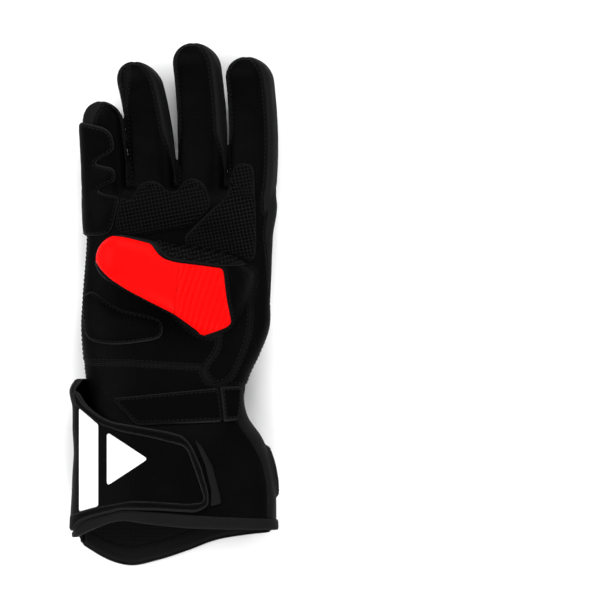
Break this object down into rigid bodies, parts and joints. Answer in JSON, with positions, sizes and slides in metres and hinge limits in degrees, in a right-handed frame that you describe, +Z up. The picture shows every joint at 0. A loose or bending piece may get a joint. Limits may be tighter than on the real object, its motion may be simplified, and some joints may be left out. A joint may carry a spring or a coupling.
{
  "type": "motorcycle racing glove",
  "caption": "Gauntlet glove for the right hand with box fingers, grip patches, an accordion thumb, wrist strap and a closing flap on a flared cuff.",
  "frame": {"origin": "on the surface the glove lies on, under the middle of its box", "axes": "+Z up, out of the palm; +Y along the fingers; +X towards the thumb's side"},
  "size_m": [0.1258, 0.3124, 0.0577],
  "materials": {
    "black_leather": "fine grained leather, satin",
    "grey_leather": "plain dark grey leather, matt",
    "red_leather": "smooth red leather, satin",
    "grip": "leather stamped with a small square grid",
    "webbing": "coated webbing",
    "lining": "knitted polyester lining",
    "white_leather": "smooth white leather, satin"
  },
  "bodies": {
    "root": {"palm_trank": "black_leather", "back_trank": "black_leather", "fourchette_little_ring": "grey_leather", "fourchette_ring_middle": "grey_leather", "fourchette_middle_index": "grey_leather", "side_panel_index": "grey_leather", "side_panel_little": "grey_leather", "thumb_back": "red_leather", "thumb_accordion": "red_leather", "thumb_side": "grey_leather", "thumb_palm": "black_leather", "grip_patch_fingers": "grip", "grip_patch_index": "grip", "grip_patch_thumb": "grip", "heel_patch": "black_leather", "little_finger_guard": "black_leather", "wrist_strap": "webbing", "strap_keeper": "webbing", "cuff_palm": "black_leather", "cuff_side": "grey_leather", "cuff_back": "black_leather", "cuff_lining": "lining", "hem_binding": "grey_leather", "hem_facing": "grey_leather", "cuff_guard": "black_leather", "cuff_flap": "black_leather", "flap_binding": "black_leather", "flap_stripe": "white_leather", "flap_triangle": "white_leather", "flap_tab": "grey_leather"}
  },
  "joints": []
}
